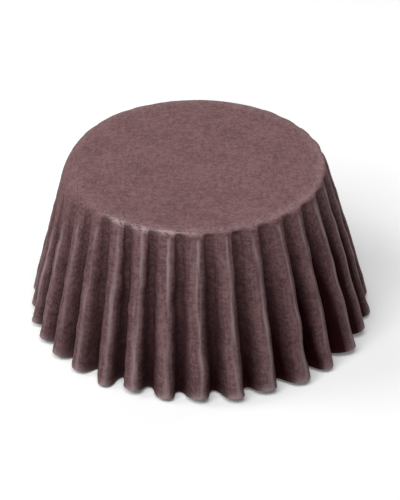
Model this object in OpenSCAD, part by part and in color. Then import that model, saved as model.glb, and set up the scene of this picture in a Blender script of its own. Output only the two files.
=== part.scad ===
// Cupcake liner: one round sheet of paper pressed into a fluted cup.
// It stands upside down on its mouth, with its flat base on top.
// The origin is the middle of the mouth, on the surface that the liner stands on.

/* [Cup] */
// Diameter of the flat base
base_d = 50; // [40:1:58]
// Diameter of the mouth, across the crests of the pleats
mouth_d = 66.8; // [62:0.2:80]
// Height from the surface under the mouth to the face of the base
height = 33.6; // [24:0.2:45]
// How far the wall bellies out at half its height
belly = 0.2; // [0:0.05:1]

/* [Paper] */
// Thickness of the paper
paper = 0.1; // [0.06:0.02:0.2]
// Width of the fold between the base and the wall
fold = 1.2; // [0.5:0.1:1.5]

/* [Pleats] */
// Number of pleats round the wall
pleats = 32; // [24:1:36]
// Depth of a pleat at the mouth, from crest to valley
pleat_depth = 4.5; // [2:0.1:5]
// How much broader the crests are than the valleys, from none at 0
crest_share = 0.4; // [0:0.05:0.8]
// How much steeper the flanks are than those of a plain wave, from no steeper at 0
steepness = 0.15; // [0:0.05:0.4]
// How a pleat deepens from the fold to the mouth: 0.5 is at once, 1 is evenly
deepening = 0.55; // [0.5:0.05:1]

/* [Unevenness] */
// How much wider than even the pleats are on the right front, and narrower across from it
crowding = 0.1; // [0:0.02:0.2]
// How much more slowly the pleats deepen on the left side
softness = 1; // [0:0.1:1.5]

/* [Hidden] */
base_r = base_d / 2;
mouth_r = mouth_d / 2;
// Points along one pleat, and rings of points down the fold and the wall
pleat_points = 8;
fold_rings = 2;
wall_rings = 8;
// How the rings of the wall crowd towards the fold, where the pleats deepen fastest
ring_crowding = 1.6;
// A whole number of pleats closes the round
pleat_count = round(pleats);
columns = pleat_count * pleat_points;
last_ring = fold_rings + wall_rings;
// The front faces -Y. Turns are counted from there towards the right: of the first crest, of
// the widest pleats and of the side where the pleats begin softly
front = -90;
first_crest = 2.3;
wide_side = 35;
soft_side = -88;
soft_width = 32;
// The face of the base is at the full height, so the middle of the paper lies lower
base_z = height - paper / 2;
// Paper from the base's edge to the mouth: the valleys, the steepest way, touch the surface
wall_paper = norm([base_z, mouth_r - pleat_depth - base_r]);

// Radius of the crests, a share t of the way down the paper
function crest_r(t) = base_r + (mouth_r - base_r) * t + 4 * belly * t * (1 - t);

// Turn of a column of points if all were alike
function even_turn(column) = 360 * column / columns;

// From 1 on the soft side to 0 away from it, by a bell curve
function soft(column) =
    let (off = (even_turn(column) - soft_side + 540) % 360 - 180)
    exp(-pow(off / soft_width, 2));

// Depth of the pleats, a share t of the way down the paper
function depth(t, column) = pleat_depth * pow(t, deepening + softness * soft(column));

// Turn of a column of points: the crests take more of the round than the valleys, and the
// pleats of the wide side more than the others
function turn(column) =
    let (
        phase = 360 * column / pleat_points,
        broad = (crest_share * sin(phase) + steepness * sin(2 * phase)) / pleat_count,
        wide = crowding * sin(even_turn(column) - wide_side)
    )
    first_crest + even_turn(column) + (broad + wide) * 180 / PI;

// Point at a radius, a turn and a height
function place(radius, angle, z) =
    [radius * cos(front + angle), radius * sin(front + angle), z];

// Point of the wall, as far down the paper from the base's edge as on the flat sheet
function wall_point(along, column) =
    let (
        t = along / wall_paper,
        phase = 360 * column / pleat_points,
        radius = crest_r(t) - depth(t, column) * (1 - cos(phase)) / 2,
        drop = sqrt(max(0, along * along - pow(radius - base_r, 2)))
    )
    place(radius, turn(column), base_z - drop);

// Point of the fold, on a curve from the flat base to the wall, drawn to the sharp edge
function fold_point(t, column) =
    pow(1 - t, 2) * place(base_r - fold, turn(column), base_z)
    + 2 * t * (1 - t) * place(base_r, turn(column), base_z)
    + t * t * wall_point(fold, column);

// Point in the middle of the paper, on ring 0 at the flat base to the last ring at the mouth
function middle(ring, column) =
    ring < fold_rings
        ? fold_point(ring / fold_rings, column)
        : wall_point(
            fold + (wall_paper - fold) * pow((ring - fold_rings) / wall_rings, ring_crowding),
            column
        );

function unit(v) = v / norm(v);

// Way out of the paper at a point, long enough to keep both skins parallel at a bend.
// The first and last rings go straight up and straight out, for a flat base and mouth.
function way_out(ring, column) =
    let (
        here = middle(ring, column),
        down = ring == last_ring ? [0, 0, -1] : middle(ring + 1, column) - middle(ring - 1, column),
        before = unit(cross(down, here - middle(ring, column - 1))),
        after = unit(cross(down, middle(ring, column + 1) - here))
    )
    (before + after) / (1 + before * after);

// Skin of the paper, half its thickness out (side = 1) or in (side = -1)
function skin(side) = [
    for (ring = [0 : last_ring])
        for (column = [0 : columns - 1])
            middle(ring, column)
            + side * paper / 2 * (ring == 0 ? [0, 0, 1] : way_out(ring, column))
];

// Number of a point in the list of both skins, outer skin first
function index(is_inner, ring, column) =
    (is_inner * (last_ring + 1) + ring) * columns + column % columns;

// The two triangles between two rings and two columns, turned over for the inner skin
function patch(is_inner, ring, column) =
    let (
        a = index(is_inner, ring, column),
        b = index(is_inner, ring, column + 1),
        c = index(is_inner, ring + 1, column + 1),
        d = index(is_inner, ring + 1, column)
    )
    is_inner == 0 ? [[a, b, c], [a, c, d]] : [[a, c, b], [a, d, c]];

// The cut edge of the paper round the mouth, between the two skins
function cut_edge(column) =
    let (
        a = index(0, last_ring, column),
        b = index(0, last_ring, column + 1),
        c = index(1, last_ring, column + 1),
        d = index(1, last_ring, column)
    )
    [[a, b, c], [a, c, d]];

module liner() {
    base_outside = [for (column = [columns - 1 : -1 : 0]) index(0, 0, column)];
    base_inside = [for (column = [0 : columns - 1]) index(1, 0, column)];
    walls = [
        for (is_inner = [0, 1])
            for (ring = [0 : last_ring - 1])
                for (column = [0 : columns - 1])
                    each patch(is_inner, ring, column)
    ];
    edge = [for (column = [0 : columns - 1]) each cut_edge(column)];
    color([0.48, 0.37, 0.38])
        polyhedron(
            points = concat(skin(1), skin(-1)),
            faces = concat([base_outside, base_inside], walls, edge)
        );
}

liner();
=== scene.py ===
"""The looks of a cupcake liner: one sheet of brown paper, pressed into a fluted cup.

It stands upside down on its mouth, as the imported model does. Lengths are in metres.
"""

import math

import bpy
import numpy as np
from bpy.props import FloatProperty, FloatVectorProperty, IntProperty, PointerProperty
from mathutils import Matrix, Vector


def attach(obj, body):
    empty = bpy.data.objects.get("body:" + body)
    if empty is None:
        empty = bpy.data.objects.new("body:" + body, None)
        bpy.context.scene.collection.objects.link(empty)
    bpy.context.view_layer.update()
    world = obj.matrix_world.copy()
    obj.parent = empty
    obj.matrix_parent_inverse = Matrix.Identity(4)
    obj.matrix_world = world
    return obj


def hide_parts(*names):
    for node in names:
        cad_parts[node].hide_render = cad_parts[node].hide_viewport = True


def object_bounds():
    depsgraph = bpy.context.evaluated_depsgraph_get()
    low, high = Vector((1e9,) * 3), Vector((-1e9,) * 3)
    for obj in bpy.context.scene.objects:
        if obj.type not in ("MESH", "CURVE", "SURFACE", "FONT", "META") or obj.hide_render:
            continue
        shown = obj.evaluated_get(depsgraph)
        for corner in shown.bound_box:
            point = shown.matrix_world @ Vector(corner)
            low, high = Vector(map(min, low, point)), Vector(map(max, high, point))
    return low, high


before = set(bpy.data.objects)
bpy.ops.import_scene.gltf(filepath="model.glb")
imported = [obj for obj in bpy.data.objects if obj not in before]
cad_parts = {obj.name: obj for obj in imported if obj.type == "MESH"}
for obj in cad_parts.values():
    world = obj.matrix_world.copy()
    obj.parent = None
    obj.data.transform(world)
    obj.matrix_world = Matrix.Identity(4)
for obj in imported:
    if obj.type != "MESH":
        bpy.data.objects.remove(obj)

bl_info = {
    "name": "Cupcake liner",
    "version": (1, 0, 0),
    "blender": (4, 5, 0),
    "location": "3D View > Sidebar > Liner",
    "description": "Makes a fluted paper cupcake liner and its stage",
    "category": "Object",
}

CAD_LOW, CAD_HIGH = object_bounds()
MM = 0.001
FULL_TURN = 2 * math.pi
# Between two faces that turn more than this, the edge is sharp, as it is along the cut edge
SHARP_ANGLE = math.radians(65)
# About the radius of the flat sheet, for the patterns that run along the pleats
SHEET_RADIUS = 58 * MM
# Distances from the sheet's middle at which the wall's look begins, and at which it is full
WALL_FROM = 23.5 * MM
WALL_FULL = 28 * MM
# How much longer than wide the fibres are
FIBRE_STRETCH = 2.6
# Distance of the lamps from the middle of the mouth, and the width of their squares
LAMP_DISTANCE = 2.0
LAMP_SIZE = 0.9


class LinerSizes(bpy.types.PropertyGroup):
    """Sizes of the liner and of its pleats."""

    base_radius: FloatProperty(
        name="Base radius",
        description="Radius of the flat base, out to its edge",
        default=25 * MM,
        subtype="DISTANCE",
        unit="LENGTH",
    )
    mouth_radius: FloatProperty(
        name="Mouth radius",
        description="Radius of the mouth at the crests of the pleats",
        default=33.4 * MM,
        subtype="DISTANCE",
        unit="LENGTH",
    )
    height: FloatProperty(
        name="Height",
        description="Height from the floor to the face of the base",
        default=CAD_HIGH[2] - CAD_LOW[2],
        subtype="DISTANCE",
        unit="LENGTH",
    )
    belly: FloatProperty(
        name="Belly",
        description="How far the wall bellies out at half its height",
        default=0.2 * MM,
        subtype="DISTANCE",
        unit="LENGTH",
    )
    paper: FloatProperty(
        name="Paper",
        description="Thickness of the paper",
        default=0.1 * MM,
        subtype="DISTANCE",
        unit="LENGTH",
    )
    fold: FloatProperty(
        name="Fold",
        description="Width of the fold between base and wall",
        default=0.8 * MM,
        subtype="DISTANCE",
        unit="LENGTH",
    )
    pleats: IntProperty(
        name="Pleats",
        description="Number of pleats round the wall",
        default=32,
        min=8,
    )
    pleat_depth: FloatProperty(
        name="Pleat depth",
        description="Depth of a pleat at the mouth, from crest to valley",
        default=4.5 * MM,
        subtype="DISTANCE",
        unit="LENGTH",
    )
    crest_share: FloatProperty(
        name="Crest share",
        description="How much broader the crests are than the valleys",
        default=0.4,
        min=0,
        max=0.9,
    )
    steepness: FloatProperty(
        name="Steepness",
        description="How much steeper the flanks of the pleats are than those of a plain wave",
        default=0.3,
        min=0,
        max=0.4,
    )
    deepening: FloatProperty(
        name="Deepening",
        description="How a pleat deepens down the wall: 0.5 is at once, 1 is evenly",
        default=0.55,
        min=0.3,
        max=1,
    )


class LinerWear(bpy.types.PropertyGroup):
    """How far the paper departs from a perfect pressing."""

    softness: FloatProperty(
        name="Softness",
        description="How much more slowly the pleats deepen on the left side",
        default=0.75,
        subtype="FACTOR",
    )
    late: FloatProperty(
        name="Late start",
        description="How far down the wall the pleats begin on the left side, as a share of it",
        default=0.13,
        subtype="FACTOR",
    )
    soft_fold: FloatProperty(
        name="Soft fold",
        description="How much wider the fold between base and wall is on the left side",
        default=3.2 * MM,
        subtype="DISTANCE",
        unit="LENGTH",
    )
    lean: FloatProperty(
        name="Lean",
        description="How far the base stands to the right of the middle of the mouth",
        default=-0.8 * MM,
        subtype="DISTANCE",
        unit="LENGTH",
    )
    push: FloatProperty(
        name="Push",
        description="How far the mouth is pushed in on the left front",
        default=0.75 * MM,
        subtype="DISTANCE",
        unit="LENGTH",
    )
    crowding: FloatProperty(
        name="Crowding",
        description="How much wider than even the pleats are on the right front",
        default=0.1,
        subtype="FACTOR",
    )
    skew: FloatProperty(
        name="Skew",
        description="How far the crests lean to the right, as a share of a pleat",
        default=0.045,
        subtype="FACTOR",
    )
    turn_spread: FloatProperty(
        name="Turn spread",
        description="Random shift of a crest or valley, as a share of a pleat",
        default=0.05,
        subtype="FACTOR",
    )
    radius_spread: FloatProperty(
        name="Radius spread",
        description="Random move of a crest or valley in or out at the mouth",
        default=0.28 * MM,
        subtype="DISTANCE",
        unit="LENGTH",
    )
    bow: FloatProperty(
        name="Bow",
        description="Random sideways bow of a pleat at half its height",
        default=0.18 * MM,
        subtype="DISTANCE",
        unit="LENGTH",
    )
    mouth_wave: FloatProperty(
        name="Mouth wave",
        description="Random rise and fall of the cut edge round the mouth",
        default=0.25 * MM,
        subtype="DISTANCE",
        unit="LENGTH",
    )
    crumple: FloatProperty(
        name="Crumple",
        description="Depth of the soft dents in the wall",
        default=0.07 * MM,
        subtype="DISTANCE",
        unit="LENGTH",
    )
    base_wave: FloatProperty(
        name="Base wave",
        description="Depth of the soft waves in the base",
        default=0.1 * MM,
        subtype="DISTANCE",
        unit="LENGTH",
    )
    seed: IntProperty(
        name="Seed",
        description="Seed of every random draw",
        default=7,
    )


class PaperColours(bpy.types.PropertyGroup):
    """Colours of the paper, and the tints of its wear and painted highlight and of its painted
    shade.
    """

    body: FloatVectorProperty(
        name="Body",
        description="Colour of the dyed paper",
        default=(0.243, 0.134, 0.139),
        size=3,
        subtype="COLOR",
    )
    dark: FloatVectorProperty(
        name="Dark",
        description="Colour of the darker grain and clouds in the dye",
        default=(0.142, 0.075, 0.08),
        size=3,
        subtype="COLOR",
    )
    # Partly wear and partly painted highlight: the lighter colour of the crests, the fold and
    # the cut edge
    wear_and_highlight: FloatVectorProperty(
        name="Worn",
        description="Colour of the paper where a fold has rubbed it",
        default=(0.42, 0.305, 0.31),
        size=3,
        subtype="COLOR",
    )
    # Painted shade: the tint that the shade down in the pleats multiplies the colour by
    deep: FloatVectorProperty(
        name="Deep",
        description="What the colour is multiplied by down in the pleats",
        default=(0.08, 0.02, 0.03),
        size=3,
        subtype="COLOR",
    )


class StageLook(bpy.types.PropertyGroup):
    """Floor, lamps and camera."""

    floor: FloatVectorProperty(
        name="Floor",
        description="Colour of the floor as the camera sees it",
        default=(1.0, 1.0, 1.0),
        size=3,
        subtype="COLOR",
    )
    glow: FloatVectorProperty(
        name="Glow",
        description="What the camera sees the floor glow, on top of what the lamps light",
        default=(0.12, 0.12, 0.12),
        size=3,
        subtype="COLOR",
    )
    bounce: FloatVectorProperty(
        name="Bounce",
        description="Colour that the floor throws back on the liner",
        default=(0.12, 0.12, 0.12),
        size=3,
        subtype="COLOR",
    )
    left_power: FloatProperty(
        name="Left power",
        description="Power of the lamp on the left, in watts",
        default=10,
    )
    front_left_power: FloatProperty(
        name="Front left power",
        description="Power of the lamp on the front left, in watts",
        default=16.5,
    )
    front_power: FloatProperty(
        name="Front power",
        description="Power of the lamp high in front, in watts",
        default=18.4,
    )
    back_power: FloatProperty(
        name="Back power",
        description="Power of each of the two weak lamps behind the liner, in watts",
        default=6,
    )
    sky: FloatProperty(
        name="Sky",
        description="Strength of the even light from all round",
        default=0.03,
    )
    lens: FloatProperty(
        name="Lens",
        description="Focal length that fills the frame with the liner, in millimetres",
        default=252,
    )


class Wave:
    """Smooth random field: a sum of plane waves of about one length, each with its own phase."""

    COUNT = 32
    # Fewest and most of a wave's crests to that length
    FEWEST = 0.6
    MOST = 1.5

    def __init__(self, random, length):
        ways = random.normal(0, 1, (3, self.COUNT))
        ways /= np.linalg.norm(ways, axis=0)
        crests = random.uniform(self.FEWEST, self.MOST, self.COUNT)
        self.pace = ways * FULL_TURN / length * crests
        self.phase = random.uniform(0, FULL_TURN, self.COUNT)
        self.scale = math.sqrt(2 / self.COUNT)

    def at(self, points):
        """Value at points: the sum of cos(pace . point + phase), scaled to a spread of one."""
        return np.cos(points @ self.pace + self.phase).sum(axis=-1) * self.scale


def round_the_wall(values, columns):
    """Curve round the wall through one value at each crest and each valley, in turn.

    Between two of them it goes by half a cosine wave, so it is level at both.
    """
    place = np.arange(columns) * len(values) / columns
    before = np.floor(place).astype(int)
    share = (1 - np.cos(math.pi * (place - before))) / 2
    after = (before + 1) % len(values)
    return values[before] * (1 - share) + values[after] * share


class PaperCup:
    """The liner's surface, as a grid of rings from the middle of the base down to the mouth.

    A place round the cup is given by its turn, counted from the front towards the right.
    """

    COLUMNS_PER_PLEAT = 20
    BASE_RINGS = 12
    FOLD_RINGS = 6
    WALL_RINGS = 50
    # How the rings of the wall crowd towards the fold, where the pleats deepen fastest
    RING_CROWDING = 1.25

    # The first crest and the widest pleats
    FIRST_CREST = math.radians(2.3)
    WIDE_SIDE = math.radians(35)
    # Where the mouth is pushed in
    PUSHED_SIDE = math.radians(-50)
    PUSHED_WIDTH = math.radians(22)
    # Where the fold is soft and the pleats begin late
    SOFT_SIDE = math.radians(-88)
    SOFT_WIDTH = math.radians(29)
    # Where the fold is lightened by wear and painted highlight, and where that reaches furthest
    # down
    RUB_AND_HIGHLIGHT_SIDE = math.radians(-20)
    RUB_AND_HIGHLIGHT_WIDTH = math.radians(27)
    STROKE_WIDE_SIDE = math.radians(-27)
    STROKE_WIDE_WIDTH = math.radians(11)
    # Where the painted shade down in the pleats is darkest, on the side away from the main lamps
    DEEP_SIDE = math.radians(75)
    DEEP_WIDTH = math.radians(32)

    # Shares of the random shifts: of the turns at the base, and of the radii at its edge
    TURN_AT_BASE = 0.35
    RADIUS_AT_EDGE = 0.5
    # Lengths of the waves that dent the wall and swell the base
    WIDE_DENT = 9 * MM
    SMALL_DENT = 3.5 * MM
    SWELL = 16 * MM
    RIPPLE = 5 * MM
    # The share of the way down the wall at which the dents have their full depth
    DENTED_FROM = 0.25
    # Depth of the small dents, and how far they push a pleat aside, next to the wide ones
    SMALL_DEPTH = 0.5
    SMALL_PUSH = 0.6
    # Height of the ripples next to the swell, and how far in from the fold both are full
    RIPPLE_HEIGHT = 0.35
    SWELL_FROM_FOLD = 4 * MM

    # What the whole pleat, its flanks and its valleys add to the painted shade at the mouth
    PLEAT_SHADE = 0.07
    FLANK_SHADE = 0.45
    VALLEY_SHADE = 0.48
    # How much sooner than the valley a flank is in full shade, on the way from the crest
    FLANK_REACH = 3.5
    # How much darker the painted shade gets on the deep side
    DEEPER = 1.9
    # How far the painted shade is evened out where the mouth is pushed in, and to which tone
    EVENED = 0.35
    EVEN_SHADE = 0.38
    # Powers of the pleats' depth by which each of them darkens down the wall
    VALLEY_PACE = 0.36
    FLANK_PACE = 1.5
    DEEP_PACE = 0.8
    EVEN_PACE = 0.5

    # How soon the lighter line of wear and painted highlight on a crest shows as the pleats
    # deepen, and how much weaker it is where the mouth is pushed in
    CREST_PACE = 4.5
    PUSHED_CRESTS = 0.25
    # How far the ridge line of wear and painted highlight leaves the middle of a crest, as the
    # sine of the phase
    RIDGE_SHIFT = 0.28

    # Width of the lighter stroke of wear and painted highlight on the fold, and how much wider
    # it is on its wide side
    STROKE_WIDTH = 0.55 * MM
    STROKE_WIDENING = 0.35 * MM
    # Strength of the stroke over the valleys and on the crests
    STROKE_OVER_VALLEYS = 0.52
    STROKE_ON_CRESTS = 0.9
    # Nearness to the rubbed side at which the stroke begins, and at which it is full
    STROKE_FROM = 0.4
    STROKE_FULL = 0.75
    # The faint lighter line of wear and painted highlight: its way in from the base's edge, its
    # width and its strength
    LINE_INSET = 0.9 * MM
    LINE_WIDTH = 0.7 * MM
    LINE_STRENGTH = 0.22
    # How much wider than the soft side the gap in that line is
    LINE_GAP = 1.7
    # How much of the fold's wear and painted highlight shows on the inside of the cup
    RUB_AND_HIGHLIGHT_INSIDE = 0.3
    # Width of the lighter strip along the cut edge, partly wear and partly painted highlight
    EDGE_WIDTH = 0.8 * MM

    def __init__(self, sizes, wear):
        self.sizes = sizes
        self.wear = wear
        self.columns = sizes.pleats * self.COLUMNS_PER_PLEAT
        self.phase = FULL_TURN * np.arange(self.columns) / self.COLUMNS_PER_PLEAT
        self.even_turn = FULL_TURN * np.arange(self.columns) / self.columns
        self.base_z = sizes.height - sizes.paper / 2
        valley_reach = sizes.mouth_radius - sizes.pleat_depth - sizes.base_radius
        self.wall_paper = math.hypot(self.base_z, valley_reach)
        self.soft = self.near(self.SOFT_SIDE, self.SOFT_WIDTH)
        self.pushed = self.near(self.PUSHED_SIDE, self.PUSHED_WIDTH)
        self.draw_wear()

    def draw_wear(self):
        """Draws every random value of the pleats, in one fixed order."""
        random = np.random.default_rng(self.wear.seed)
        knots = 2 * self.sizes.pleats
        pitch = FULL_TURN / self.sizes.pleats
        turns = random.normal(0, self.wear.turn_spread * pitch, knots)
        radii = random.normal(0, self.wear.radius_spread, knots)
        bows = random.normal(0, self.wear.bow, knots)
        rises = random.normal(0, self.wear.mouth_wave, knots)
        self.turn_shift = round_the_wall(turns, self.columns)
        self.radius_shift = round_the_wall(radii, self.columns)
        self.bow_shift = round_the_wall(bows, self.columns)
        self.rise = round_the_wall(rises, self.columns)
        self.wide_dents = Wave(random, self.WIDE_DENT)
        self.small_dents = Wave(random, self.SMALL_DENT)
        self.swell = Wave(random, self.SWELL)
        self.ripple = Wave(random, self.RIPPLE)

    def near(self, side, width):
        """1 at a side of the cup, falling off by a bell curve of that width, for each column."""
        off = np.angle(np.exp(1j * (self.even_turn - side))) / width
        return np.exp(-(off**2))

    def turn(self, down):
        """Turn of each column, a share down of the way down the paper.

        It is the even turn, drawn apart on the wide side, with crests that take more of the
        round than valleys and lean to the right, and a random shift that grows down the wall.
        """
        sizes = self.sizes
        pitch = FULL_TURN / sizes.pleats
        broad = pitch * sizes.crest_share * np.sin(self.phase) / FULL_TURN
        steep = pitch * sizes.steepness * np.sin(2 * self.phase) / FULL_TURN
        skew = pitch * self.wear.skew * np.cos(self.phase)
        wide = self.wear.crowding * np.sin(self.even_turn - self.WIDE_SIDE)
        shift = self.turn_shift * (self.TURN_AT_BASE + (1 - self.TURN_AT_BASE) * down)
        return self.FIRST_CREST + self.even_turn + broad + steep + skew + wide + shift

    def depth_share(self, down):
        """Depth of the pleats at each ring and column, as a share of that at the mouth.

        It is the way down from where the pleats begin to the power of the deepening. On the
        soft side they begin lower, and the power is higher.
        """
        start = self.wear.late * self.soft
        way = np.maximum(0, down - start) / (1 - start)
        return way ** (self.sizes.deepening + self.wear.softness * self.soft)

    def place(self, radius, turn, z):
        """Points at a radius, a turn from the front and a height."""
        x = radius * np.sin(turn)
        y = -radius * np.cos(turn)
        return np.stack(np.broadcast_arrays(x, y, z), axis=-1)

    def wall(self, along):
        """Rings of the wall, each at distances along the paper from the base's edge.

        Radius: the crest line, less the pleat's depth times (1 - cos phase) / 2.
        Height: what a straight line of that length along the paper leaves below the base, and
        the rise of the cut edge, which fades up the wall by the cube of the way down.
        Then the dents move each point in or out and aside.
        """
        sizes = self.sizes
        down = along / self.wall_paper
        crest = sizes.base_radius + (sizes.mouth_radius - sizes.base_radius) * down
        crest = crest + 4 * sizes.belly * down * (1 - down)
        depth = sizes.pleat_depth * self.depth_share(down)
        radius = crest - depth * (1 - np.cos(self.phase)) / 2
        radius = radius + self.radius_shift * down
        turn = self.turn(down) + self.bow_shift * np.sin(math.pi * down) / radius
        radius = radius - self.wear.push * down * self.pushed
        reach = radius - sizes.base_radius
        drop = np.sqrt(np.maximum(0, along**2 - reach**2))
        z = self.base_z - drop + self.rise * down**3
        smooth = self.place(radius, turn, z)
        crumple = self.wear.crumple * np.minimum(1, down / self.DENTED_FROM)
        wide_dents = self.wide_dents.at(smooth)
        small_dents = self.small_dents.at(smooth)
        radius = radius + crumple * (wide_dents + self.SMALL_DEPTH * small_dents)
        turn = turn + crumple * (wide_dents - self.SMALL_PUSH * small_dents) / radius
        return self.place(radius, turn, z)

    def rings(self):
        """All rings of the middle of the paper: base, fold and wall.

        The fold's rings follow a quadratic curve from the flat base to the wall, drawn to the
        sharp edge between them. Returns the points and, for each, its distance from the middle
        of the flat sheet.
        """
        sizes = self.sizes
        fold_width = sizes.fold + self.wear.soft_fold * self.soft
        flat_radius = sizes.base_radius - fold_width
        share = np.arange(1, self.BASE_RINGS + 1)[:, None] / self.BASE_RINGS
        turn = self.turn(0)
        base = self.place(flat_radius * share, turn, self.base_z)
        round_fold = (np.arange(1, self.FOLD_RINGS) / self.FOLD_RINGS)[:, None]
        bend = round_fold[..., None]
        top = self.place(flat_radius, turn, self.base_z)
        edge_radius = sizes.base_radius + self.RADIUS_AT_EDGE * self.radius_shift
        edge = self.place(edge_radius, turn, self.base_z)
        bottom = self.wall(fold_width[None, :])[0]
        fold = (1 - bend) ** 2 * top + 2 * bend * (1 - bend) * edge + bend**2 * bottom
        steps = (np.arange(self.WALL_RINGS + 1) / self.WALL_RINGS) ** self.RING_CROWDING
        along = fold_width + (self.wall_paper - fold_width) * steps[:, None]
        points = np.concatenate([base, fold, self.wall(along)])
        sheet_radius = np.concatenate(
            [
                flat_radius * share,
                flat_radius + 2 * fold_width * round_fold,
                sizes.base_radius + along,
            ]
        )
        swell = self.swell.at(points) + self.RIPPLE_HEIGHT * self.ripple.at(points)
        inside_fold = np.clip((flat_radius - sheet_radius) / self.SWELL_FROM_FOLD, 0, 1)
        points[..., 2] += self.wear.base_wave * swell * inside_fold
        points[..., 0] += self.wear.lean * points[..., 2] / sizes.height
        return points, sheet_radius

    def sheet(self, points, sheet_radius):
        """Place of each point on the flat sheet.

        Its turn there is its share of the paper's length round the mouth.
        """
        mouth = points[-1]
        steps = np.linalg.norm(np.roll(mouth, -1, axis=0) - mouth, axis=1)
        turn = FULL_TURN * np.concatenate([[0], np.cumsum(steps)[:-1]]) / steps.sum()
        return self.place(sheet_radius, turn, 0.0)

    def shade(self, share, phase):
        """Painted shade of a pleat, from light on its crest to 1 in its valley at the mouth.

        The flanks darken with the depth of the pleats, and the valleys almost at once. Where the
        mouth is pushed in, crests and valleys are nearer to each other in tone.
        """
        valley = (1 - np.cos(phase)) / 2
        flank = np.minimum(1, self.FLANK_REACH * valley)
        flank = flank**2 * (3 - 2 * flank)
        soon = share ** (self.VALLEY_PACE + self.soft)
        shade = self.PLEAT_SHADE * soon
        shade = shade + self.FLANK_SHADE * flank * share**self.FLANK_PACE
        shade = shade + self.VALLEY_SHADE * valley * soon
        deep = self.near(self.DEEP_SIDE, self.DEEP_WIDTH)
        shade = shade * (1 + self.DEEPER * deep * share**self.DEEP_PACE)
        evened = self.EVENED * self.pushed
        even_shade = self.EVEN_SHADE * evened * share**self.EVEN_PACE
        return np.minimum(1, shade * (1 - evened) + even_shade)

    def fold_wear_and_highlight(self, sheet_radius):
        """How much the fold is lightened by wear and painted highlight: the stroke on the
        front left, or the faint line.

        Both are bell curves of the distance past the base's edge.
        """
        past_edge = sheet_radius - self.sizes.base_radius
        widening = self.STROKE_WIDENING * self.near(self.STROKE_WIDE_SIDE, self.STROKE_WIDE_WIDTH)
        across = np.exp(-(((past_edge - widening) / (self.STROKE_WIDTH + widening)) ** 2))
        crest = (1 + np.cos(self.phase)) / 2
        more = self.STROKE_ON_CRESTS - self.STROKE_OVER_VALLEYS
        stroke = across * (self.STROKE_OVER_VALLEYS + more * crest)
        # How near the side where the fold is lightened by wear and painted highlight
        rubbed = self.near(self.RUB_AND_HIGHLIGHT_SIDE, self.RUB_AND_HIGHLIGHT_WIDTH) - self.STROKE_FROM
        rubbed = np.clip(rubbed / (self.STROKE_FULL - self.STROKE_FROM), 0, 1)
        line = np.exp(-(((past_edge + self.LINE_INSET) / self.LINE_WIDTH) ** 2))
        off_soft = 1 - self.near(self.SOFT_SIDE, self.LINE_GAP * self.SOFT_WIDTH)
        return np.maximum(stroke * rubbed, line * self.LINE_STRENGTH * off_soft)

    def marks(self, sheet_radius):
        """What the paper's material reads at each ring and column, outside and inside.

        Inside the cup the valleys are its crests. The side is how far a point lies from the
        ridge line of its crest, as the sine of the phase; along that line the crest is lighter,
        partly as wear and partly as a painted highlight. The ridge line runs right of the middle
        of the crest on the front left, and left of it behind. The shade darkens the pleats as
        painted shade.
        """
        down = np.clip((sheet_radius - self.sizes.base_radius) / self.wall_paper, 0, 1)
        share = self.depth_share(down)
        begun = np.minimum(1, self.CREST_PACE * share)
        crest = (1 + np.cos(self.phase)) / 2 * begun * (1 - self.PUSHED_CRESTS * self.pushed)
        valley = (1 - np.cos(self.phase)) / 2 * begun
        shade = self.shade(share, self.phase)
        shade_inside = self.shade(share, self.phase + math.pi)
        ridge = self.RIDGE_SHIFT * np.cos(self.even_turn - self.RUB_AND_HIGHLIGHT_SIDE)
        side = np.broadcast_to(np.sin(self.phase) - ridge, down.shape)
        fold = self.fold_wear_and_highlight(sheet_radius)
        # The cut edge is lighter, partly as wear and partly as a painted highlight
        edge = np.exp(-(((sheet_radius[-1] - sheet_radius) / self.EDGE_WIDTH) ** 2))
        return {
            "crest": (crest, valley),
            "shade": (shade, shade_inside),
            "side": (side, side),
            "fold": (fold, fold * self.RUB_AND_HIGHLIGHT_INSIDE),
            "edge": (edge, edge),
        }


def outward(points):
    """Normals of a closed ring grid: the cross product of the way round and the way down."""
    round_way = np.roll(points, -1, axis=1) - np.roll(points, 1, axis=1)
    down_way = np.gradient(points, axis=0)
    normal = np.cross(down_way, round_way)
    return normal / np.linalg.norm(normal, axis=-1, keepdims=True)


def ring_faces(rings, columns, first, inner):
    """Quads between neighbouring rings of a closed grid whose points start at number first."""
    ring, column = np.meshgrid(np.arange(rings - 1), np.arange(columns), indexing="ij")
    following = (column + 1) % columns
    a = first + ring * columns + column
    b = first + ring * columns + following
    c = b + columns
    d = a + columns
    order = [a, b, c, d] if inner else [a, d, c, b]
    return np.stack(order, axis=-1).reshape(-1, 4)


def fan_faces(columns, first, centre, inner):
    """Triangles from the middle point of a skin to its first ring."""
    column = np.arange(columns)
    here = first + column
    following = first + (column + 1) % columns
    middle = np.full(columns, centre)
    order = [middle, following, here] if inner else [middle, here, following]
    return np.stack(order, axis=-1)


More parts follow.
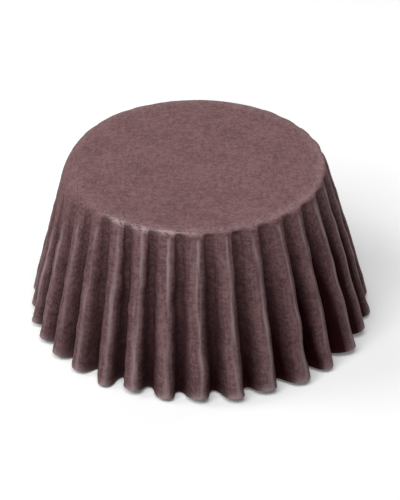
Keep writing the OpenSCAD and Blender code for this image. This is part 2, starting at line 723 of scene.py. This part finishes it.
def closed_skins(points, paper):
    """Two skins, half the paper's thickness out and in, joined at the mouth.

    Returns the points of the outer skin, of the inner skin and of the middle of the base, then
    the faces with four corners and those with three.
    """
    rings, columns = points.shape[:2]
    normal = outward(points)
    normal[0] = (0, 0, 1)
    normal[-1, :, 2] = 0
    outer = points + normal * paper / 2
    inner = points - normal * paper / 2
    centre = points[0].mean(axis=0)
    lift = np.array((0, 0, paper / 2))
    count = rings * columns
    vertices = np.concatenate(
        [outer.reshape(-1, 3), inner.reshape(-1, 3), [centre + lift, centre - lift]]
    )
    last = (rings - 1) * columns
    column = np.arange(columns)
    following = (column + 1) % columns
    edge = np.stack(
        [last + column, count + last + column, count + last + following, last + following],
        axis=-1,
    )
    quads = np.concatenate(
        [
            ring_faces(rings, columns, 0, inner=False),
            ring_faces(rings, columns, count, inner=True),
            edge,
        ]
    )
    triangles = np.concatenate(
        [
            fan_faces(columns, 0, 2 * count, inner=False),
            fan_faces(columns, count, 2 * count + 1, inner=True),
        ]
    )
    return vertices, quads, triangles


def make_mesh(name, vertices, quads, triangles):
    """Mesh of quads and triangles, smooth but for the edges where it turns sharply."""
    mesh = bpy.data.meshes.new(name)
    sizes = np.concatenate([np.full(len(quads), 4), np.full(len(triangles), 3)])
    corners = np.concatenate([quads.ravel(), triangles.ravel()])
    mesh.vertices.add(len(vertices))
    mesh.vertices.foreach_set("co", vertices.astype(np.float32).ravel())
    mesh.loops.add(len(corners))
    mesh.loops.foreach_set("vertex_index", corners.astype(np.int32))
    mesh.polygons.add(len(sizes))
    starts = np.concatenate([[0], np.cumsum(sizes)[:-1]])
    mesh.polygons.foreach_set("loop_start", starts.astype(np.int32))
    mesh.polygons.foreach_set("use_smooth", np.ones(len(sizes), dtype=bool))
    mesh.update(calc_edges=True)
    mesh.validate()
    mesh.set_sharp_from_angle(angle=SHARP_ANGLE)
    return mesh


def add_attribute(mesh, name, outside, inside):
    """Stores the values or vectors of both skins, with 0 in the two middle points."""
    width = outside.shape[2:]
    skins = [outside.reshape(-1, *width), inside.reshape(-1, *width), np.zeros((2, *width))]
    kind, key = ("FLOAT_VECTOR", "vector") if width else ("FLOAT", "value")
    attribute = mesh.attributes.new(name, kind, "POINT")
    attribute.data.foreach_set(key, np.concatenate(skins).astype(np.float32).ravel())


class Link:
    """A socket of a shader. Sums on it add Math nodes."""

    def __init__(self, shader, socket):
        self.shader = shader
        self.socket = socket

    def math(self, operation, first, second):
        settings = {"operation": operation}
        return self.shader.add("ShaderNodeMath", settings, {0: first, 1: second})

    def __add__(self, other):
        return self.math("ADD", self, other)

    def __radd__(self, other):
        return self.math("ADD", other, self)

    def __sub__(self, other):
        return self.math("SUBTRACT", self, other)

    def __rsub__(self, other):
        return self.math("SUBTRACT", other, self)

    def __mul__(self, other):
        return self.math("MULTIPLY", self, other)

    def __rmul__(self, other):
        return self.math("MULTIPLY", other, self)


class Shader:
    """The nodes of one material or world, all added by add()."""

    def __init__(self, owner):
        self.owner = owner
        owner.use_nodes = True
        self.tree = owner.node_tree
        self.tree.nodes.clear()

    def add(self, kind, settings=None, inputs=None, output=0):
        """Adds a node, sets it up, fills its sockets with values or links, returns an output."""
        node = self.tree.nodes.new(kind)
        for key, value in (settings or {}).items():
            setattr(node, key, value)
        for key, value in (inputs or {}).items():
            if isinstance(value, Link):
                self.tree.links.new(value.socket, node.inputs[key])
            else:
                node.inputs[key].default_value = value
        return Link(self, node.outputs[output]) if node.outputs else None

    def attribute(self, name, output="Fac"):
        """Value of one of the mesh's attributes."""
        return self.add("ShaderNodeAttribute", {"attribute_name": name}, output=output)

    def noise(self, vector, scale, detail=2.0, roughness=0.5):
        """Noise from 0 to 1, with features of about 1 / scale."""
        inputs = {"Vector": vector, "Scale": scale, "Detail": detail, "Roughness": roughness}
        return self.add("ShaderNodeTexNoise", None, inputs)

    def vector(self, operation, *values, output="Vector"):
        """Vector Math on vectors."""
        settings = {"operation": operation}
        return self.add("ShaderNodeVectorMath", settings, dict(enumerate(values)), output)

    def ramp(self, value, low, high):
        """0 below low, 1 above high and smooth between."""
        settings = {"interpolation_type": "SMOOTHSTEP"}
        inputs = {"Value": value, "From Min": low, "From Max": high}
        return self.add("ShaderNodeMapRange", settings, inputs)

    def absolute(self, value):
        """The value without its sign."""
        return self.add("ShaderNodeMath", {"operation": "ABSOLUTE"}, {0: value})

    def mix(self, factor, first, second, blend="MIX"):
        """Colour between two colours, which are the node's sockets 6 and 7."""
        settings = {"data_type": "RGBA", "blend_type": blend, "clamp_factor": True}
        return self.add("ShaderNodeMix", settings, {0: factor, 6: first, 7: second}, output=2)

    def bump(self, height, distance, strength, normal=None):
        """Normal of a surface whose relief is the height times the distance."""
        inputs = {"Height": height, "Distance": distance, "Strength": strength}
        if normal:
            inputs["Normal"] = normal
        return self.add("ShaderNodeBump", None, inputs)

    def surface(self, inputs):
        """Ends the material in one Principled shader."""
        shader = self.add("ShaderNodeBsdfPrincipled", None, inputs)
        self.add("ShaderNodeOutputMaterial", None, {"Surface": shader})
        return self.owner

    def seen(self):
        """1 for what the camera sees, also in a mirror or through glass, and 0 for light."""
        path = self.add("ShaderNodeLightPath", output="Is Camera Ray")
        outputs = path.socket.node.outputs
        mirrored = Link(self, outputs["Is Glossy Ray"])
        return path + mirrored + Link(self, outputs["Is Transmission Ray"])


def colour(value):
    """A colour property as the four numbers of a colour socket."""
    return (*value, 1.0)


def pulled(paper, sheet, distance, pull):
    """The place on the sheet for patterns along the pleats.

    It is the way out from the middle, as long as the sheet's radius, raised by the distance from
    the middle times the pull: under 1 the pattern is long down the pleats, over 1 across them.
    """
    way = paper.vector("NORMALIZE", sheet)
    ring = paper.vector("MULTIPLY", way, (SHEET_RADIUS, SHEET_RADIUS, 0.0))
    rise = paper.add("ShaderNodeCombineXYZ", None, {"Z": distance * pull})
    return paper.vector("ADD", ring, rise)


def paper_material(colours):
    """Dyed greaseproof paper.

    The patterns follow the flat sheet, so they run on from the base over the fold into the
    pleats: clouds in the dye, crossed fibres, specks, and fine wrinkles along the pleats. The
    crests, the fold and the cut edge are lighter, partly from wear and partly as a painted
    highlight, and down in the pleats the colour is darkened as painted shade. The scale of a
    noise is in features to the metre.
    """
    paper = Shader(bpy.data.materials.new("brown_paper"))
    sheet = paper.attribute("sheet", output="Vector")
    crest = paper.attribute("crest")
    side = paper.attribute("side")
    shade = paper.attribute("shade")
    fold = paper.attribute("fold")
    edge = paper.attribute("edge")
    distance = paper.vector("LENGTH", sheet, output="Value")
    on_wall = paper.ramp(distance, WALL_FROM, WALL_FULL)

    # The grain of the paper, everywhere
    across = paper.vector("MULTIPLY", sheet, (1.0, FIBRE_STRETCH, 1.0))
    along = paper.vector("MULTIPLY", sheet, (FIBRE_STRETCH, 1.0, 1.0))
    fibres = (paper.noise(across, 490, detail=3) + paper.noise(along, 490, detail=3)) * 0.5
    clouds = paper.noise(sheet, 140, detail=3)
    specks = paper.noise(sheet, 2200, detail=2, roughness=0.6)
    # What pleating did to the wall: wrinkles and streaks down it, crinkles across, and flecks
    wrinkles = paper.noise(pulled(paper, sheet, distance, 0.12), 900, detail=3, roughness=0.6)
    streaks = paper.noise(pulled(paper, sheet, distance, 0.05), 1700, detail=3, roughness=0.6)
    crinkles = paper.noise(pulled(paper, sheet, distance, 3.0), 520, detail=3, roughness=0.6)
    wander = paper.noise(pulled(paper, sheet, distance, 0.2), 500, detail=2)
    flecks = paper.noise(sheet, 1100, detail=1)

    # The dye. The wall's own patterns come on top, less their mean of 0.37
    pattern = clouds * 0.16 + fibres * 0.46 + specks * 0.38
    pattern = pattern + on_wall * (crinkles * 0.22 + streaks * 0.24 + flecks * 0.28 - 0.37)
    tone = paper.ramp(pattern, 0.405, 0.595)
    dye = paper.mix(tone, colour(colours.dark), colour(colours.body))

    # Wear and painted highlight, lighter: a wandering line on each crest, a weaker band
    # round it, the fold and the edge
    off_ridge = paper.absolute(side + (wander - 0.5) * 0.7)
    ridge = (1 - paper.ramp(off_ridge, 0.0, 0.36)) * paper.ramp(crest, 0.5, 0.9)
    band = (1 - paper.ramp(off_ridge, 0.1, 1.1)) * paper.ramp(crest, 0.5, 1.0)
    rub_and_highlight = ridge * on_wall * paper.ramp(wrinkles, 0.3, 0.65) * 0.85
    rub_and_highlight = rub_and_highlight + band * on_wall * paper.ramp(streaks, 0.3, 0.7) * 0.2
    rub_and_highlight = rub_and_highlight + fold * paper.ramp(wander * 0.25 + specks * 0.75, 0.34, 0.56) * 1.25
    wear_and_highlight = paper.mix(rub_and_highlight + edge, dye, colour(colours.wear_and_highlight))
    # Painted shade: down in the pleats the colour is multiplied towards the deep tint
    shaded = paper.mix(shade, wear_and_highlight, colour(colours.deep), "MULTIPLY")

    # The relief: the grain, and over it the wrinkles of the wall and the lines on the crests
    fine = paper.bump(fibres * 0.6 + specks * 0.4, 0.05 * MM, 0.55)
    relief = on_wall * (wrinkles * 0.5 + streaks * 0.25 + crinkles * 0.3) + ridge * 0.2
    creased = paper.bump(relief, 0.3 * MM, 0.6, normal=fine)
    return paper.surface(
        {
            "Base Color": shaded,
            "Roughness": 0.52 + 0.2 * fibres,
            "Normal": creased,
            "Specular IOR Level": 0.05,
        }
    )


def floor_material(look):
    """White floor: bright to the camera, and darker in the light that it throws back."""
    floor = Shader(bpy.data.materials.new("floor"))
    seen = floor.seen()
    tint = floor.mix(seen, colour(look.bounce), colour(look.floor))
    glow = floor.mix(seen, colour((0.0, 0.0, 0.0)), colour(look.glow))
    return floor.surface(
        {
            "Base Color": tint,
            "Emission Color": glow,
            "Emission Strength": 1.0,
            "Roughness": 1.0,
            "Specular IOR Level": 0.0,
        }
    )


class LINER_OT_make_liner(bpy.types.Operator):
    """Makes the paper liner with its pleats, creases and thickness"""

    bl_idname = "liner.make_liner"
    bl_label = "Make liner"

    def execute(self, context):
        sizes = context.scene.liner_sizes
        cup = PaperCup(sizes, context.scene.liner_wear)
        points, sheet_radius = cup.rings()
        vertices, quads, triangles = closed_skins(points, sizes.paper)
        # The liner stands on its lowest valleys, and its base stays where it is
        sink = vertices[:, 2].min()
        vertices[:, 2] -= sink * (1 - vertices[:, 2] / sizes.height)
        mesh = make_mesh("liner_paper", vertices, quads, triangles)
        if len(mesh.vertices) != len(vertices):
            raise RuntimeError("the liner's mesh lost points")

        sheet = cup.sheet(points, sheet_radius)
        add_attribute(mesh, "sheet", sheet, sheet)
        for name, (outside, inside) in cup.marks(sheet_radius).items():
            add_attribute(mesh, name, outside, inside)

        piece = bpy.data.objects.new("liner_paper", mesh)
        context.scene.collection.objects.link(piece)
        mesh.materials.append(paper_material(context.scene.liner_colours))
        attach(piece, "root")
        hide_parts("liner")
        return {"FINISHED"}


def add_lamp(scene, name, azimuth, elevation, power):
    """Square lamp that faces the liner, placed by its angle round from the front and up."""
    lamp = bpy.data.lights.new(name, "AREA")
    lamp.shape = "SQUARE"
    lamp.size = LAMP_SIZE
    lamp.energy = power
    holder = bpy.data.objects.new(name, lamp)
    scene.collection.objects.link(holder)
    turn = math.radians(azimuth)
    rise = math.radians(elevation)
    level = math.cos(rise)
    way = Vector((math.sin(turn) * level, -math.cos(turn) * level, math.sin(rise)))
    holder.location = way * LAMP_DISTANCE
    holder.rotation_euler = (-way).to_track_quat("-Z", "Y").to_euler()


class LINER_OT_make_stage(bpy.types.Operator):
    """Makes the floor, the lamps, the sky and the camera"""

    bl_idname = "liner.make_stage"
    bl_label = "Make stage"

    # Half the width of the floor
    FLOOR_HALF = 4.0
    # Each lamp's angles round from the front and up, in degrees, and its power's name
    LAMPS = {
        "left": (-95, 40, "left_power"),
        "front_left": (-40, 47, "front_left_power"),
        "front": (0, 58, "front_power"),
        "back_right": (125, 20, "back_power"),
        "back_left": (-155, 20, "back_power"),
    }
    # The photograph's camera, seen from the middle of the mouth
    CAMERA_PLACE = (-6.3 * MM, -575.4 * MM, 380.4 * MM)
    # What the camera looks at, near the middle of the liner
    CAMERA_AIM = (0.0, 0.0, 14 * MM)

    def execute(self, context):
        scene = context.scene
        look = scene.liner_stage
        half = self.FLOOR_HALF
        corners = [(-half, -half, 0), (half, -half, 0), (half, half, 0), (-half, half, 0)]
        mesh = bpy.data.meshes.new("floor")
        mesh.from_pydata(corners, [], [(0, 1, 2, 3)])
        mesh.materials.append(floor_material(look))
        floor = bpy.data.objects.new("floor", mesh)
        scene.collection.objects.link(floor)

        for name, (azimuth, elevation, power) in self.LAMPS.items():
            add_lamp(scene, name, azimuth, elevation, getattr(look, power))
        self.make_sky(scene, look.sky)
        self.make_camera(scene, look.lens)
        scene.view_settings.view_transform = "Standard"
        return {"FINISHED"}

    def make_sky(self, scene, strength):
        """Even light from all round, which the camera sees as white, also in a mirror."""
        sky = Shader(bpy.data.worlds.new("sky"))
        scene.world = sky.owner
        white = (1.0, 1.0, 1.0, 1.0)
        light = sky.add("ShaderNodeBackground", None, {"Color": white, "Strength": strength})
        backdrop = sky.add("ShaderNodeBackground", None, {"Color": white, "Strength": 1.0})
        either = sky.add("ShaderNodeMixShader", None, {0: sky.seen(), 1: light, 2: backdrop})
        sky.add("ShaderNodeOutputWorld", None, {"Surface": either})

    def make_camera(self, scene, lens):
        """Camera at the photograph's place, turned to the liner."""
        data = bpy.data.cameras.new("camera")
        data.lens = lens
        data.sensor_width = 36
        data.clip_start = 0.01
        data.clip_end = 50
        camera = bpy.data.objects.new("camera", data)
        scene.collection.objects.link(camera)
        camera.location = self.CAMERA_PLACE
        way = Vector(self.CAMERA_AIM) - camera.location
        camera.rotation_euler = way.to_track_quat("-Z", "Y").to_euler()
        scene.camera = camera


class LINER_PT_panel(bpy.types.Panel):
    """Lists what makes the liner and its stage"""

    bl_idname = "LINER_PT_panel"
    bl_label = "Cupcake liner"
    bl_space_type = "VIEW_3D"
    bl_region_type = "UI"
    bl_category = "Liner"

    def draw(self, context):
        for group in GROUPS:
            box = self.layout.box()
            values = getattr(context.scene, group)
            for key in values.bl_rna.properties.keys():
                if key not in {"rna_type", "name"}:
                    box.prop(values, key)
        for operator in OPERATORS:
            self.layout.operator(operator.bl_idname)


GROUPS = {
    "liner_sizes": LinerSizes,
    "liner_wear": LinerWear,
    "liner_colours": PaperColours,
    "liner_stage": StageLook,
}
OPERATORS = (LINER_OT_make_stage, LINER_OT_make_liner)


def register():
    for name, group in GROUPS.items():
        bpy.utils.register_class(group)
        setattr(bpy.types.Scene, name, PointerProperty(type=group))
    for operator in OPERATORS:
        bpy.utils.register_class(operator)
    bpy.utils.register_class(LINER_PT_panel)


def unregister():
    bpy.utils.unregister_class(LINER_PT_panel)
    for operator in reversed(OPERATORS):
        bpy.utils.unregister_class(operator)
    for name, group in reversed(GROUPS.items()):
        delattr(bpy.types.Scene, name)
        bpy.utils.unregister_class(group)


def main():
    register()
    bpy.ops.liner.make_stage()
    bpy.ops.liner.make_liner()


if __name__ == "__main__":
    main()
